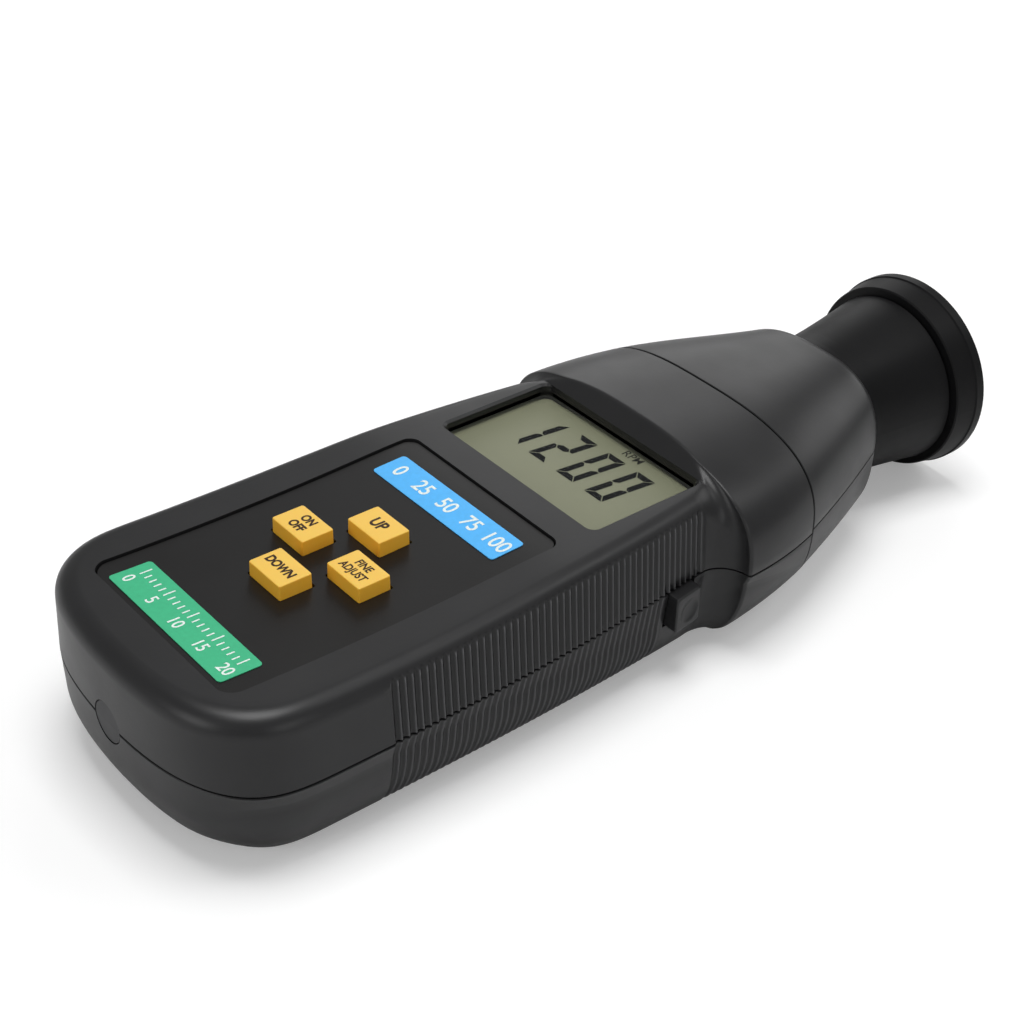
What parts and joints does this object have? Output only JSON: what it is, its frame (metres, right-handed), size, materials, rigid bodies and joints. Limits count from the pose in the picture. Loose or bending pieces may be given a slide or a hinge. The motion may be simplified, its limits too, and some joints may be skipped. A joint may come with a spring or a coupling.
{
  "type": "handheld digital stroboscope",
  "caption": "Hand-held flash stroboscope with a waisted grip housing, display window, rubber keys, side trigger, hinged battery door and a round lamp head at the nose.",
  "frame": {"origin": "middle of the outline seen from above, at the height of the lowest point of the lamp ring", "axes": "+X to the user's right, on the side with the trigger; +Y along the lamp axis toward the lamp head; +Z out of the display face"},
  "size_m": [0.075, 0.2109, 0.0448],
  "materials": {
    "body_plastic": "fine satin texture",
    "face_plastic": "smooth satin",
    "blue_film": "printed film",
    "green_film": "printed film",
    "clear_window": "clear",
    "display_cell": "grey-green polariser",
    "white_plastic": "plain",
    "black_rubber": "matte",
    "key_rubber": "matte amber",
    "board": "solder mask",
    "chip": "moulded",
    "steel": "plated",
    "cell_jacket": "jacket",
    "capacitor_sleeve": "sleeve",
    "winding": "enamelled wire",
    "lamp_black": "glossy black",
    "lens": "clear",
    "bright": "metallised",
    "tube_glass": "clear",
    "ceramic": "matte"
  },
  "bodies": {
    "housing": {"upper_shell": "body_plastic", "lower_shell": "body_plastic", "nose_cap_top": "body_plastic", "nose_cap_bottom": "body_plastic", "faceplate": "face_plastic", "label_blue": "blue_film", "label_green": "green_film", "display_window": "clear_window", "display_panel": "display_cell", "display_holder": "white_plastic", "contact_strips": "black_rubber", "key_switches": "chip", "main_board": "board", "board_chips": "chip", "board_screws": "steel", "trigger_switch": "chip", "tail_plug": "black_rubber", "battery_tray": "body_plastic", "battery_cells": "cell_jacket", "battery_springs": "steel", "battery_contacts": "steel", "power_board": "board", "flash_capacitor": "capacitor_sleeve", "step_up_coil": "winding", "lamp_barrel": "lamp_black", "lamp_ring": "lamp_black", "front_lens": "lens", "reflector": "bright", "flash_tube": "tube_glass", "lamp_socket": "ceramic", "ignition_coil": "winding", "housing_screws": "steel", "nose_screws": "steel"},
    "power_key": {"key_power": "key_rubber"},
    "up_key": {"key_up": "key_rubber"},
    "down_key": {"key_down": "key_rubber"},
    "fine_key": {"key_fine": "key_rubber"},
    "side_trigger": {"trigger": "body_plastic"},
    "door": {"battery_door": "body_plastic"}
  },
  "joints": [
    {"name": "power_key_press", "type": "slide", "parent": "housing", "child": "power_key", "axis": [0, 0, -1], "range_m": [0, 0.001], "stiffness_N_per_m": 400},
    {"name": "up_key_press", "type": "slide", "parent": "housing", "child": "up_key", "axis": [0, 0, -1], "range_m": [0, 0.001], "stiffness_N_per_m": 400},
    {"name": "down_key_press", "type": "slide", "parent": "housing", "child": "down_key", "axis": [0, 0, -1], "range_m": [0, 0.001], "stiffness_N_per_m": 400},
    {"name": "fine_key_press", "type": "slide", "parent": "housing", "child": "fine_key", "axis": [0, 0, -1], "range_m": [0, 0.001], "stiffness_N_per_m": 400},
    {"name": "trigger_press", "type": "slide", "parent": "housing", "child": "side_trigger", "axis": [-1, 0, 0], "range_m": [0, 0.0018], "stiffness_N_per_m": 500},
    {"name": "door_swing", "type": "hinge", "parent": "housing", "child": "door", "pos_m": [0, -0.0263, 0.0038], "axis": [1, 0, 0], "range_deg": [0, 75]}
  ]
}
